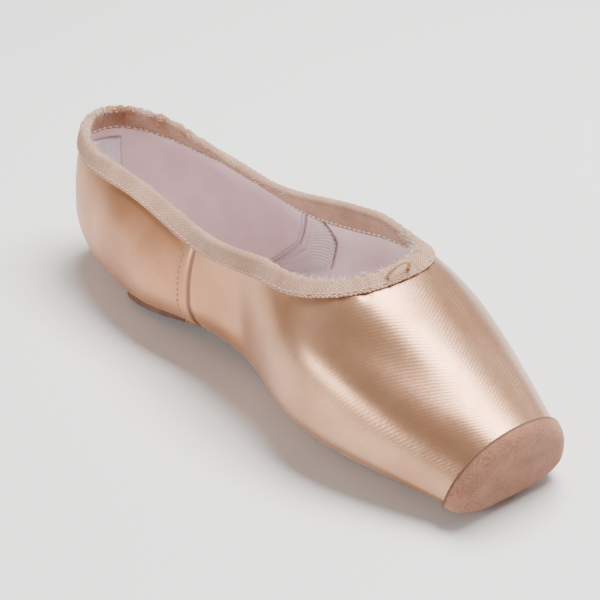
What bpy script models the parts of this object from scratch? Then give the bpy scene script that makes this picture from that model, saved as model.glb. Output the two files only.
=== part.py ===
"""A satin pointe shoe, standing empty on its sole.

Metres, +Z up. The toe points to +X and the origin is on the floor under the shoe's middle.
The shoe is straight lasted, so each piece is one half, mirrored across the XZ plane.
Tables are worked out along the last, whose back is at x = 0, before the pieces are centred.
"""

import math

import bmesh
import bpy
from mathutils import Vector

# Driving sizes of the last.
SHOE_LENGTH = 0.238
BALL_WIDTH = 0.078
INSTEP_HEIGHT = 0.060
HEEL_HEIGHT = 0.058
HEEL_DEPTH = 0.033
ARCH_LIFT = 0.006

# Walls, layers and the clearance between them.
QUARTER_WALL = 0.0014
BOX_WALL = 0.0026
BOX_START, BOX_FULL = 0.77, 0.90
SOLE_THICKNESS = 0.0022
INSOLE_THICKNESS = 0.0012
PATCH_THICKNESS = 0.0009
TAPE_THICKNESS = 0.0008
GAP = 0.0004

# The section of the last: flat under the foot, then one rounding up to the widest line
# and one over the top.
FLAT_SHARE = 0.42
LOWER_ROUNDNESS = 1.85
UPPER_ROUNDNESS = 2.2

# The sides of the last: share of the length, half width as a share of the ball width,
# and height of the widest line as a share of the instep height.
SIDES = (
    (0.000, 0.290, 0.42),
    (0.125, 0.325, 0.42),
    (0.250, 0.410, 0.43),
    (0.380, 0.395, 0.43),
    (0.520, 0.350, 0.42),
    (0.690, 0.500, 0.36),
    (0.840, 0.445, 0.27),
    (1.000, 0.283, 0.13),
)

# The collar's edge: share of the length, half width as a share of the ball width,
# and height as a share of the heel height.
COLLAR = (
    (0.000, 0.245, 0.990),
    (0.125, 0.250, 0.935),
    (0.250, 0.245, 0.905),
    (0.380, 0.280, 0.868),
    (0.480, 0.332, 0.910),
    (0.582, 0.338, 0.988),
)

# The vamp's ridge: share of the length and height as a share of the instep height.
RIDGE = (
    (0.729, 1.010),
    (0.790, 0.880),
    (0.900, 0.632),
    (1.000, 0.458),
)

# The throat's front curve, between the end of the collar's sides and the start of the ridge.
THROAT_CORNER = COLLAR[-1][0]
THROAT_FRONT = RIDGE[0][0]
THROAT_ROUNDNESS = 2.5

# The underside: flat at the heel and under the ball, arched between, as shares of the length.
HEEL_FLAT_END = 0.20
BALL_FLAT_START = 0.60

# The platform: its rim's radius, how much of the rim shows underneath, and its face's lean.
RIM_RADIUS = 0.0040
RIM_RISE_BELOW = 0.5
RIM_RISE_BESIDE = 0.6
FACE_LEAN = math.radians(12.5)
LEAN_START = 0.80

# The suede patch over the platform: how far it wraps back above and below.
PATCH_WRAP_ABOVE = 0.0050
PATCH_WRAP_BELOW = 0.0080

# The tape folded over the collar: its legs' widths, and the tunnel over the upper's edge.
OUTER_LEG = 0.0054
INNER_LEG = 0.0076
TUNNEL_HEIGHT = 0.0012

# The drawstring's loop at the middle of the throat, and how far ahead of the edge it stands.
CORD_DIAMETER = 0.0014
LOOP_AHEAD = 0.0026
LOOP_WIDTH = 0.0090
LOOP_HEIGHT = 0.0048

# The outsole: share of the length, and half width as a share of the last's half width.
OUTSOLE = (
    (0.140, 0.640),
    (0.250, 0.640),
    (0.400, 0.500),
    (0.520, 0.540),
    (0.690, 0.620),
    (0.800, 0.600),
    (0.905, 0.560),
)
OUTSOLE_HEEL_ROUND = 0.085
OUTSOLE_TOE_ROUND = 0.055

# The opening under the upper, as a share of the outsole's width, and how far its ends
# lie inside the outsole's as a share of the length.
OPENING_SHARE = 0.60
OPENING_MARGIN = 0.04
OPENING_ROUND = 0.08

# The insole's half width as a share of the last's, and where it ends.
INSOLE_REACH = 0.58
INSOLE_END = 0.955

# How finely the pieces are divided.
FAN_STEPS = 8
BODY_STEPS = 16
THROAT_STEPS = 10
VAMP_STEPS = 7
RIM_STEPS = 4
HEEL_STEPS = 2
OPENING_STEPS = 25
FLAT_ROWS = 1
LOWER_ROWS = 7
UPPER_ROWS = 9
SOLE_ROWS = 4
SOLE_STEPS = 28
TUNNEL_STEPS = 4
LOOP_STEPS = 10
NORMAL_STEP = 0.00001


def smooth(value):
    """An ease from 0 to 1."""
    value = min(1.0, max(0.0, value))
    return value * value * (3 - 2 * value)


def round_end(distance, radius):
    """The share of full width at a distance from a round end."""
    inward = 1 - min(1.0, max(0.0, distance / radius))
    return math.sqrt(1 - inward * inward)


def spline(rows, column):
    """A natural cubic spline through one column of a table, over the table's first column."""
    xs = [row[0] for row in rows]
    ys = [row[column] for row in rows]
    count = len(xs)
    widths = [xs[i + 1] - xs[i] for i in range(count - 1)]
    slopes = [(ys[i + 1] - ys[i]) / widths[i] for i in range(count - 1)]
    bends, carry = [0.0] * count, [0.0] * count
    for i in range(1, count - 1):
        pivot = 2 * (widths[i - 1] + widths[i]) - widths[i - 1] * carry[i - 1]
        carry[i] = widths[i] / pivot
        bends[i] = (6 * (slopes[i] - slopes[i - 1]) - widths[i - 1] * bends[i - 1]) / pivot
    for i in range(count - 2, 0, -1):
        bends[i] -= carry[i] * bends[i + 1]

    def value(x):
        x = min(max(x, xs[0]), xs[-1])
        i = max(k for k in range(count - 1) if xs[k] <= x)
        ahead, behind, width = xs[i + 1] - x, x - xs[i], widths[i]
        curve = (bends[i] * ahead**3 + bends[i + 1] * behind**3) / (6 * width)
        left = (ys[i] / width - bends[i] * width / 6) * ahead
        right = (ys[i + 1] / width - bends[i + 1] * width / 6) * behind
        return curve + left + right

    return value


HALF_WIDTH_SHARE = spline(SIDES, 1)
WIDEST_SHARE = spline(SIDES, 2)
COLLAR_WIDTH_SHARE = spline(COLLAR, 1)
COLLAR_HEIGHT_SHARE = spline(COLLAR, 2)
OUTSOLE_SHARE = spline(OUTSOLE, 1)


def rim_inset(x):
    """How far the platform's rounded rim has drawn in."""
    ahead = min(RIM_RADIUS, max(0.0, x - (SHOE_LENGTH - RIM_RADIUS)))
    return RIM_RADIUS - math.sqrt(RIM_RADIUS**2 - ahead**2)


def half_width(x):
    """Half the last's width at its widest line."""
    return BALL_WIDTH * HALF_WIDTH_SHARE(x / SHOE_LENGTH) - rim_inset(x)


def widest_height(x):
    return INSTEP_HEIGHT * WIDEST_SHARE(x / SHOE_LENGTH) + RIM_RISE_BESIDE * rim_inset(x)


def floor_lift(x):
    """How far the arch lifts the outsole's underside."""
    share = (x / SHOE_LENGTH - HEEL_FLAT_END) / (BALL_FLAT_START - HEEL_FLAT_END)
    return ARCH_LIFT * math.sin(math.pi * min(1.0, max(0.0, share))) ** 2


def underside(x):
    """Height of the upper's flat bottom."""
    return floor_lift(x) + SOLE_THICKNESS + GAP + RIM_RISE_BELOW * rim_inset(x)


def collar_half_width(x):
    return BALL_WIDTH * COLLAR_WIDTH_SHARE(x / SHOE_LENGTH)


def collar_height(x):
    return HEEL_HEIGHT * COLLAR_HEIGHT_SHARE(x / SHOE_LENGTH)


def rear_ridge(x):
    """Height at which the open sides would meet, so that they pass through the collar's edge."""
    middle = widest_height(x)
    rise = 1 - (collar_half_width(x) / half_width(x)) ** UPPER_ROUNDNESS
    return middle + (collar_height(x) - middle) / rise ** (1 / UPPER_ROUNDNESS)


def vamp_ridge():
    """The ridge's spline, which runs on smoothly from the rear ridge."""
    corner = THROAT_CORNER * SHOE_LENGTH
    joins = (corner - HEEL_DEPTH / 8, corner)
    rows = tuple((x / SHOE_LENGTH, rear_ridge(x) / INSTEP_HEIGHT) for x in joins)
    return spline(rows + RIDGE, 1)


VAMP_RIDGE_SHARE = vamp_ridge()


def ridge_height(x):
    if x <= THROAT_CORNER * SHOE_LENGTH:
        return rear_ridge(x)
    return INSTEP_HEIGHT * VAMP_RIDGE_SHARE(x / SHOE_LENGTH) - rim_inset(x)


def wall(x):
    """The upper's thickness, which grows into the stiff toe box."""
    into_box = (x / SHOE_LENGTH - BOX_START) / (BOX_FULL - BOX_START)
    return QUARTER_WALL + (BOX_WALL - QUARTER_WALL) * smooth(into_box)


def reach_and_station(x, y):
    """How far out a point is as a share of the outline, and the station of its section.
    Round the heel the sections stand like a fan."""
    if x >= HEEL_DEPTH:
        return abs(y) / half_width(x), x
    behind = (HEEL_DEPTH - x) / HEEL_DEPTH
    station = x
    for _ in range(4):
        reach = max(math.hypot(behind, y / half_width(station)), NORMAL_STEP)
        station = HEEL_DEPTH * (1 - behind / reach)
    return reach, max(0.0, station)


def form_value(x, y, z):
    """Zero on the last's surface and negative inside it."""
    reach, station = reach_and_station(x, y)
    middle = widest_height(station)
    if z >= middle:
        rise = (z - middle) / (ridge_height(station) - middle)
        return reach**UPPER_ROUNDNESS + rise**UPPER_ROUNDNESS - 1
    side = max(0.0, (reach - FLAT_SHARE) / (1 - FLAT_SHARE))
    drop = (middle - z) / (middle - underside(station))
    return side**LOWER_ROUNDNESS + drop**LOWER_ROUNDNESS - 1


def gradient(point):
    parts = []
    for axis in range(3):
        ahead, behind = list(point), list(point)
        ahead[axis] += NORMAL_STEP
        behind[axis] -= NORMAL_STEP
        parts.append((form_value(*ahead) - form_value(*behind)) / (2 * NORMAL_STEP))
    return Vector(parts)


def normal(point):
    """The outward direction of the last's surface."""
    if point.x >= SHOE_LENGTH - NORMAL_STEP:
        return Vector((1, 0, 0))
    outward = gradient(point)
    if abs(point.y) < NORMAL_STEP:
        outward.y = 0
    return outward.normalized()


def onto_form(point):
    """The nearest point of the last's surface."""
    for _ in range(4):
        slope = gradient(point)
        point = point - slope * (form_value(*point) / slope.length_squared)
    return point


def fan_swing(along):
    """The angle of a section round the heel, from the back to the side."""
    return (1 - along / HEEL_DEPTH) * math.pi / 2


def form_point(along, place):
    """A point on the last. The place runs from -2 to -1 over the flat underneath,
    to 0 at the widest line and to 1 at the ridge."""
    if along < HEEL_DEPTH:
        swing = fan_swing(along)
        station = HEEL_DEPTH * (1 - math.sin(swing))
        out = Vector((station - HEEL_DEPTH, half_width(station) * math.cos(swing), 0))
        axis = HEEL_DEPTH
    else:
        axis = station = along
        out = Vector((0, half_width(along), 0))
    middle = widest_height(station)
    sine, cosine = abs(math.sin(place * math.pi / 2)), max(0.0, math.cos(place * math.pi / 2))
    if place <= -1:
        reach, z = FLAT_SHARE * (place + 2), underside(station)
    elif place <= 0:
        power = 2 / LOWER_ROUNDNESS
        reach = FLAT_SHARE + (1 - FLAT_SHARE) * cosine**power
        z = middle - (middle - underside(station)) * sine**power
    else:
        power = 2 / UPPER_ROUNDNESS
        reach = cosine**power if place < 1 else 0.0
        z = middle + (ridge_height(station) - middle) * sine**power
    return Vector((axis, 0, z)) + out * reach


def place_of_reach(reach):
    """The place on the lower half of a section that lies a share of the way out."""
    if reach <= FLAT_SHARE:
        return reach / FLAT_SHARE - 2
    side = (reach - FLAT_SHARE) / (1 - FLAT_SHARE)
    return -math.acos(side ** (LOWER_ROUNDNESS / 2)) * 2 / math.pi


def leaned(point):
    """The point after the platform's lean, which sets its lower edge back."""
    share = smooth((point.x / SHOE_LENGTH - LEAN_START) / (1 - LEAN_START))
    drop = RIDGE[-1][1] * INSTEP_HEIGHT - point.z
    return Vector((point.x - math.tan(FACE_LEAN) * drop * share, point.y, point.z))


def skin_point(along, place, depth):
    """A point at a depth inside the last's surface, or outside it where the depth is negative."""
    point = form_point(along, place)
    return leaned(point - normal(point) * depth)


OPENING_START = OUTSOLE[0][0] + OPENING_MARGIN
OPENING_END = OUTSOLE[-1][0] - OPENING_MARGIN


def outsole_reach(along):
    share = along / SHOE_LENGTH
    heel = round_end(share - OUTSOLE[0][0], OUTSOLE_HEEL_ROUND)
    return OUTSOLE_SHARE(share) * heel * round_end(OUTSOLE[-1][0] - share, OUTSOLE_TOE_ROUND)


def opening_reach(along):
    """Half width of the opening under the upper, as a share of the last's."""
    share = along / SHOE_LENGTH
    ends = round_end(share - OPENING_START, OPENING_ROUND) * round_end(OPENING_END - share, OPENING_ROUND)
    return OPENING_SHARE * OUTSOLE_SHARE(share) * ends


def throat_point(index):
    """Place along and half width of the throat's front curve."""
    turn = math.pi / 2 * index / THROAT_STEPS
    corner, front = THROAT_CORNER * SHOE_LENGTH, THROAT_FRONT * SHOE_LENGTH
    power = 2 / THROAT_ROUNDNESS
    along = corner + (front - corner) * math.sin(turn) ** power
    return along, collar_half_width(corner) * max(0.0, math.cos(turn)) ** power


def collar_edge(index):
    """Place along and up the section of each station's collar edge."""
    if index <= FAN_STEPS:
        along = HEEL_DEPTH * index / FAN_STEPS
        station = HEEL_DEPTH * (1 - math.sin(fan_swing(along)))
    elif index <= FAN_STEPS + BODY_STEPS:
        share = (index - FAN_STEPS) / BODY_STEPS
        along = station = HEEL_DEPTH + (THROAT_CORNER * SHOE_LENGTH - HEEL_DEPTH) * share
    else:
        along, edge = throat_point(index - FAN_STEPS - BODY_STEPS)
        reach = edge / half_width(along)
        return along, math.acos(reach ** (UPPER_ROUNDNESS / 2)) * 2 / math.pi
    rise = (collar_height(station) - widest_height(station))
    rise /= ridge_height(station) - widest_height(station)
    return along, math.asin(rise ** (UPPER_ROUNDNESS / 2)) * 2 / math.pi


COLLAR_STATIONS = FAN_STEPS + BODY_STEPS + THROAT_STEPS


def rim_stations():
    """Places along the platform's rim, up to its flat face."""
    start = SHOE_LENGTH - RIM_RADIUS
    turns = [math.pi / 2 * i / RIM_STEPS for i in range(1, RIM_STEPS + 1)]
    return [start + RIM_RADIUS * math.sin(turn) for turn in turns]


def section(low_along, low_place, high_along, high_place):
    """A section's places, from its lower end to its upper end. Its line runs askew
    where the ends lie at other places along."""
    places = [low_place + (-1 - low_place) * i / FLAT_ROWS for i in range(FLAT_ROWS)]
    places += [-1 + i / LOWER_ROWS for i in range(LOWER_ROWS)]
    places += [high_place * i / UPPER_ROWS for i in range(UPPER_ROWS + 1)]
    askew = high_along - low_along
    return [(low_along + askew * smooth((p + 1) / (high_place + 1)), p) for p in places]


def spaced(start, end, steps):
    """Even places from the start up to the one before the end."""
    return [start + (end - start) * i / steps for i in range(steps)]


def eased(start, end, steps):
    """Places that crowd towards both round ends."""
    return [start + (end - start) * (1 - math.cos(math.pi * i / steps)) / 2 for i in range(steps + 1)]


def upper_grid():
    rim_start = SHOE_LENGTH - RIM_RADIUS
    opening_start, opening_end = OPENING_START * SHOE_LENGTH, OPENING_END * SHOE_LENGTH
    front_steps = BODY_STEPS + THROAT_STEPS + VAMP_STEPS - HEEL_STEPS - OPENING_STEPS
    lows = spaced(0, HEEL_DEPTH, FAN_STEPS) + spaced(HEEL_DEPTH, opening_start, HEEL_STEPS)
    lows += spaced(opening_start, opening_end, OPENING_STEPS)
    lows += spaced(opening_end, rim_start, front_steps)
    highs = [collar_edge(index) for index in range(COLLAR_STATIONS)]
    highs += [(along, 1.0) for along in spaced(THROAT_FRONT * SHOE_LENGTH, rim_start, VAMP_STEPS)]
    rims = [rim_start] + rim_stations()
    lows += rims
    highs += [(along, 1.0) for along in rims]
    grid = []
    for low, (high, place) in zip(lows, highs):
        grid.append(section(low, place_of_reach(opening_reach(low)), high, place))
    return grid


def patch_grid():
    """The suede patch, from its edge behind the rim to the platform's face."""
    rim_start = SHOE_LENGTH - RIM_RADIUS
    low, high = SHOE_LENGTH - PATCH_WRAP_BELOW, SHOE_LENGTH - PATCH_WRAP_ABOVE
    grid = []
    for share in (0.0, 1.0):
        lower, upper = low + (rim_start - low) * share, high + (rim_start - high) * share
        grid.append(section(lower, -2, upper, 1.0))
    grid += [section(along, -2, along, 1.0) for along in rim_stations()]
    return grid


def sole_grid(alongs, reach_at):
    """A layer under the foot, as wide as reach_at says at each place along."""
    rows = range(SOLE_ROWS + 1)
    return [[(a, place_of_reach(reach_at(a) * j / SOLE_ROWS)) for j in rows] for a in alongs]


def material(name, color, roughness):
    made = bpy.data.materials.new(name)
    made.use_nodes = True
    shader = made.node_tree.nodes["Principled BSDF"]
    shader.inputs["Base Color"].default_value = (*color, 1)
    shader.inputs["Roughness"].default_value = roughness
    shader.inputs["Metallic"].default_value = 0
    return made


def place_object(name, data, look):
    """The piece, moved so that the shoe's middle is over the origin."""
    data.materials.append(look)
    piece = bpy.data.objects.new(name, data)
    bpy.context.scene.collection.objects.link(piece)
    piece.location.x = -(SHOE_LENGTH + GAP + PATCH_THICKNESS) / 2
    return piece


def half_mesh(name, build, look):
    """A mesh of one half, mirrored into a closed whole."""
    shape = bmesh.new()
    build(shape)
    bmesh.ops.remove_doubles(shape, verts=shape.verts, dist=0.000001)
    data = bpy.data.meshes.new(name)
    shape.to_mesh(data)
    shape.free()
    data.shade_smooth()
    data.set_sharp_from_angle(angle=math.radians(40))
    piece = place_object(name, data, look)
    mirror = piece.modifiers.new("Other half", "MIRROR")
    mirror.use_axis = (False, True, False)
    mirror.merge_threshold = 0.00001
    return piece


def on_middle(vert):
    return abs(vert.co.y) < NORMAL_STEP


def shell(shape, outer, inner, capped):
    """Two skins of one grid of points, joined wherever their borders leave the middle."""
    skins = [[[shape.verts.new(p) for p in row] for row in skin] for skin in (outer, inner)]
    last, top = len(outer) - 1, len(outer[0]) - 1
    for flip, skin in enumerate(skins):
        for i in range(last):
            for j in range(top):
                corners = [skin[i][j], skin[i][j + 1], skin[i + 1][j + 1], skin[i + 1][j]]
                shape.faces.new(corners[::-1] if flip else corners)
    borders = [(i + 1, top, i, top) for i in range(last)] + [(i, 0, i + 1, 0) for i in range(last)]
    borders += [(0, j + 1, 0, j) for j in range(top)]
    if capped:
        shape.faces.new(skins[0][last])
        shape.faces.new(skins[1][last][::-1])
    else:
        borders += [(last, j, last, j + 1) for j in range(top)]
    for i, j, i2, j2 in borders:
        corners = [skins[0][i][j], skins[0][i2][j2], skins[1][i2][j2], skins[1][i][j]]
        if not (on_middle(corners[0]) and on_middle(corners[1])):
            shape.faces.new(corners)


def layer(grid, outer_depth, inner_depth, capped=False):
    """A builder for the layer of the last between two depths, which may vary along it."""

    def skin(depth):
        return [[skin_point(a, p, depth(a) if callable(depth) else depth) for a, p in row] for row in grid]

    return lambda shape: shell(shape, skin(outer_depth), skin(inner_depth), capped)


def upper():
    """Satin over the canvas and the stiff box: open at the collar and under the foot."""
    look = material("peach_satin", (0.66, 0.42, 0.29), 0.35)
    half_mesh("upper", layer(upper_grid(), 0, wall, capped=True), look)


def toe_patch():
    look = material("pink_suede", (0.44, 0.25, 0.19), 0.95)
    half_mesh("toe_patch", layer(patch_grid(), -GAP - PATCH_THICKNESS, -GAP, capped=True), look)


def outsole():
    """A thin leather sole, narrower than the upper."""
    look = material("sole_leather", (0.30, 0.15, 0.08), 0.6)
    start, end = OUTSOLE[0][0] * SHOE_LENGTH, OUTSOLE[-1][0] * SHOE_LENGTH
    grid = sole_grid(eased(start, end, SOLE_STEPS), outsole_reach)
    half_mesh("outsole", layer(grid, -GAP - SOLE_THICKNESS, -GAP), look)


def insole():
    look = material("insole_cloth", (0.60, 0.52, 0.55), 0.9)
    end = INSOLE_END * SHOE_LENGTH
    alongs = spaced(0, HEEL_DEPTH, FAN_STEPS) + spaced(HEEL_DEPTH, end, SOLE_STEPS) + [end]
    grid = sole_grid(alongs, lambda along: INSOLE_REACH)
    top = GAP + INSOLE_THICKNESS
    half_mesh("insole", layer(grid, lambda a: wall(a) + GAP, lambda a: wall(a) + top), look)


def tape_profile(thickness):
    """The folded tape's section: distance from the collar's edge, and height over the upper.
    It runs down the outside leg, back up, over the tunnel and down the inside leg."""
    low, high = GAP, GAP + TAPE_THICKNESS
    middle = -thickness / 2
    runs = []
    for lift in (high, low):
        radius = thickness / 2 + lift
        outside = [(OUTER_LEG * i / 2, lift) for i in (2, 1)]
        tunnel = []
        for i in range(TUNNEL_STEPS + 1):
            turn = math.pi * i / TUNNEL_STEPS
            rise = (TUNNEL_HEIGHT + (lift - low)) * math.sin(turn)
            tunnel.append((-rise, middle + radius * math.cos(turn)))
        inside = [(INNER_LEG * i / 2, -thickness - lift) for i in (1, 2)]
        runs.append(outside + tunnel + inside)
    return runs[0] + runs[1][::-1]


def binding():
    """The tape over the collar's edge, all round from the heel's back to the throat."""
    edges = [form_point(*collar_edge(i)) for i in range(COLLAR_STATIONS + 1)]

    def build(shape):
        flipped = Vector((1, -1, 1))
        rings = []
        for i, edge in enumerate(edges):
            before = edges[i - 1] if i else edges[1] * flipped
            after = edges[i + 1] if i < COLLAR_STATIONS else edges[i - 1] * flipped
            outward = normal(edge)
            away = outward.cross(after - before).normalized()
            ring = []
            for distance, height in tape_profile(wall(edge.x)):
                point, up = edge + away * distance, outward
                if distance > 0:
                    point = onto_form(point)
                    up = normal(point)
                point += up * height
                if i in (0, COLLAR_STATIONS):
                    point.y = 0
                ring.append(shape.verts.new(point))
            rings.append(ring)
        for ring, ahead in zip(rings, rings[1:]):
            for k, vert in enumerate(ring):
                shape.faces.new((ring[k - 1], vert, ahead[k], ahead[k - 1]))

    half_mesh("binding", build, material("cream_tape", (0.72, 0.58, 0.46), 0.85))


def drawstring():
    """The loop of cord that shows at the middle of the throat."""
    edge = form_point(*collar_edge(COLLAR_STATIONS))
    stand = onto_form(edge + Vector((LOOP_AHEAD, 0, 0)))
    up = normal(stand)
    foot = stand + up * (2 * GAP + TAPE_THICKNESS)
    data = bpy.data.curves.new("drawstring", "CURVE")
    data.dimensions = "3D"
    data.bevel_depth = CORD_DIAMETER / 2
    data.bevel_resolution = 2
    data.use_fill_caps = True
    line = data.splines.new("POLY")
    line.points.add(LOOP_STEPS)
    for i, knot in enumerate(line.points):
        turn = math.pi * i / LOOP_STEPS
        rise = up * (LOOP_HEIGHT * math.sin(turn))
        knot.co = (*(foot + Vector((0, LOOP_WIDTH / 2 * math.cos(turn), 0)) + rise), 1)
    place_object("drawstring", data, material("ochre_cord", (0.62, 0.38, 0.19), 0.8))


def main():
    for piece in list(bpy.data.objects):
        bpy.data.objects.remove(piece)
    upper()
    toe_patch()
    outsole()
    insole()
    binding()
    drawstring()


main()
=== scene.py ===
"""A satin pointe shoe, dressed over its CAD frame: satin, tape, suede, leather and stitching.

Metres, +Z up, toe to +X. The last's tables are the part's own. Places along the last start at 0
at the heel's back, and every piece is moved by TO_MIDDLE as the part's are.
"""

import math
import random

import bmesh
import bpy
import numpy as np
from mathutils import Matrix, Vector
from mathutils.kdtree import KDTree


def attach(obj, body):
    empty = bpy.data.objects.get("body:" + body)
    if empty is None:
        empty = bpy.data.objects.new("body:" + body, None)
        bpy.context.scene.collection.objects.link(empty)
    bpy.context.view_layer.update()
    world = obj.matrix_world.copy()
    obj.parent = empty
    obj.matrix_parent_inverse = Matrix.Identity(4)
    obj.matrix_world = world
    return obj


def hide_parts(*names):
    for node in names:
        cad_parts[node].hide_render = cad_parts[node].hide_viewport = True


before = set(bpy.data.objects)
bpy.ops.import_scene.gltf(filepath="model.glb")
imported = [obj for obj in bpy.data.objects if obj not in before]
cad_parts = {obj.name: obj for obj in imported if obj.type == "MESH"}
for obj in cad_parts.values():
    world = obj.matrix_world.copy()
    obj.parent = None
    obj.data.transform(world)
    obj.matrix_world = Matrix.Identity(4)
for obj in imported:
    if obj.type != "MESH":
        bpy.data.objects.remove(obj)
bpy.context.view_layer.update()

# The last.
SHOE_LENGTH = 0.238
BALL_WIDTH = 0.078
INSTEP_HEIGHT = 0.060
HEEL_HEIGHT = 0.058
HEEL_DEPTH = 0.033
ARCH_LIFT = 0.006
QUARTER_WALL = 0.0014
BOX_WALL = 0.0026
BOX_START, BOX_FULL = 0.77, 0.90
SOLE_THICKNESS = 0.0022
INSOLE_THICKNESS = 0.0012
PATCH_THICKNESS = 0.0009
TAPE_THICKNESS = 0.0008
GAP = 0.0004
FLAT_SHARE = 0.42
LOWER_ROUNDNESS = 1.85
UPPER_ROUNDNESS = 2.2
TO_MIDDLE = Vector((-(SHOE_LENGTH + GAP + PATCH_THICKNESS) / 2, 0, 0))

# Share of the length, half width over ball width, widest height over instep height.
SIDES = (
    (0.000, 0.290, 0.42),
    (0.125, 0.325, 0.42),
    (0.250, 0.410, 0.43),
    (0.380, 0.395, 0.43),
    (0.520, 0.350, 0.42),
    (0.690, 0.500, 0.36),
    (0.840, 0.445, 0.27),
    (1.000, 0.283, 0.13),
)
# Share of the length, half width over ball width, height over heel height.
COLLAR = (
    (0.000, 0.245, 0.990),
    (0.125, 0.250, 0.935),
    (0.250, 0.245, 0.905),
    (0.380, 0.280, 0.868),
    (0.480, 0.332, 0.910),
    (0.582, 0.338, 0.988),
)
# Share of the length, height over instep height.
RIDGE = ((0.729, 1.010), (0.790, 0.880), (0.900, 0.632), (1.000, 0.458))
# Share of the length, half width over the last's half width.
OUTSOLE = (
    (0.140, 0.640),
    (0.250, 0.640),
    (0.400, 0.500),
    (0.520, 0.540),
    (0.690, 0.620),
    (0.800, 0.600),
    (0.905, 0.560),
)
THROAT_CORNER, THROAT_FRONT = COLLAR[-1][0], RIDGE[0][0]
THROAT_ROUNDNESS = 2.5
HEEL_FLAT_END, BALL_FLAT_START = 0.20, 0.60
RIM_RADIUS = 0.0040
RIM_RISE_BELOW, RIM_RISE_BESIDE = 0.5, 0.6
FACE_LEAN = math.radians(12.5)
LEAN_START = 0.80
PATCH_WRAP_ABOVE, PATCH_WRAP_BELOW = 0.0050, 0.0080
OUTER_LEG, INNER_LEG = 0.0054, 0.0076
TUNNEL_HEIGHT = 0.0012
CORD_DIAMETER = 0.0014
LOOP_AHEAD = 0.0026
LOOP_WIDTH, LOOP_HEIGHT = 0.0090, 0.0048
OUTSOLE_HEEL_ROUND, OUTSOLE_TOE_ROUND = 0.085, 0.055
OPENING_SHARE, OPENING_MARGIN, OPENING_ROUND = 0.60, 0.04, 0.08
INSOLE_REACH, INSOLE_END = 0.58, 0.955
NORMAL_STEP = 0.00001

# How finely the cloth is divided.
FAN_STEPS = 34
BODY_STEPS = 92
THROAT_STEPS = 44
VAMP_STEPS = 60
RIM_STEPS = 6
WRAP_STEPS = 6
HEEL_STEPS = 6
OPENING_STEPS = 150
FLAT_ROWS, LOWER_ROWS, UPPER_ROWS = 5, 26, 38
SOLE_STEPS, SOLE_ROWS = 120, 16
INSOLE_FAN, INSOLE_STEPS, INSOLE_ROWS = 24, 90, 14
TAPE_FAN, TAPE_BODY, TAPE_THROAT = 56, 130, 90
OUTER_ROWS, FOLD_ROWS, INNER_ROWS = 9, 10, 10
LOOP_STEPS = 14
PATCH_STEPS = 24

# The side seam, as a share of the length, and the doubled cloth behind it.
SEAM_SHARE = 0.417
SEAM_BAND = 0.0062
BAND_RISE = 0.0006
SEAM_GROOVE = 0.0008

# The tapes inside: divisions, lean along the shoe, sweep of the lower end, the places of
# both ends (the upper one under the collar's edge) and the clearance from the lining.
STRIP_COLUMNS, STRIP_ROWS = 22, 44
STRIP_SLANT = 0.0180
STRIP_SWEEP = 0.0040
STRIP_FOOT, STRIP_TOP = -0.55, 0.10
STRIP_CLEARANCE = 0.00012
# Their hems: rise over the thickness, and start and ramp as shares of the half width.
HEM_RISE, HEM_START, HEM_RAMP = 0.9, 0.70, 0.15
# Name, share of the length, width and thickness.
STRIPS = (("side_tape", 0.425, 0.0125, 0.0006), ("back_seam", 0.378, 0.0016, 0.0005))
# The heel's patch: how far round, its lower end, how far under the edge, depth and thickness.
HEEL_PATCH_REACH, HEEL_PATCH_FOOT, HEEL_PATCH_TOP = 0.28, -0.30, 0.16
HEEL_PATCH_DEPTH, HEEL_PATCH_THICKNESS = QUARTER_WALL + 0.0005, 0.0004
# The pieces' rounded edges.
SUEDE_EDGE, SOLE_EDGE, INSOLE_EDGE, TAPE_EDGE = 0.0003, 0.0005, 0.0003, 0.00025

# The camera stands where the photograph's does and turns to the one shoe.
CAMERA_PLACE = Vector((0.48422, -0.39276, 0.38599))
CAMERA_AIM = Vector((0.0050, 0.0010, 0.0270))
CAMERA_LENS = 122


def smooth(value):
    value = min(1.0, max(0.0, value))
    return value * value * (3 - 2 * value)


def round_end(distance, radius):
    inward = 1 - min(1.0, max(0.0, distance / radius))
    return math.sqrt(1 - inward * inward)


def spline(rows, column):
    """A natural cubic spline through one column of a table, over the table's first column."""
    xs = [row[0] for row in rows]
    ys = [row[column] for row in rows]
    count = len(xs)
    widths = [xs[i + 1] - xs[i] for i in range(count - 1)]
    slopes = [(ys[i + 1] - ys[i]) / widths[i] for i in range(count - 1)]
    bends, carry = [0.0] * count, [0.0] * count
    for i in range(1, count - 1):
        pivot = 2 * (widths[i - 1] + widths[i]) - widths[i - 1] * carry[i - 1]
        carry[i] = widths[i] / pivot
        bends[i] = (6 * (slopes[i] - slopes[i - 1]) - widths[i - 1] * bends[i - 1]) / pivot
    for i in range(count - 2, 0, -1):
        bends[i] -= carry[i] * bends[i + 1]

    def value(x):
        x = min(max(x, xs[0]), xs[-1])
        i = max(k for k in range(count - 1) if xs[k] <= x)
        ahead, behind, width = xs[i + 1] - x, x - xs[i], widths[i]
        curve = (bends[i] * ahead**3 + bends[i + 1] * behind**3) / (6 * width)
        left = (ys[i] / width - bends[i] * width / 6) * ahead
        right = (ys[i + 1] / width - bends[i + 1] * width / 6) * behind
        return curve + left + right

    return value


HALF_WIDTH_SHARE = spline(SIDES, 1)
WIDEST_SHARE = spline(SIDES, 2)
COLLAR_WIDTH_SHARE = spline(COLLAR, 1)
COLLAR_HEIGHT_SHARE = spline(COLLAR, 2)
OUTSOLE_SHARE = spline(OUTSOLE, 1)


def rim_inset(x):
    ahead = min(RIM_RADIUS, max(0.0, x - (SHOE_LENGTH - RIM_RADIUS)))
    return RIM_RADIUS - math.sqrt(RIM_RADIUS**2 - ahead**2)


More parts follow.
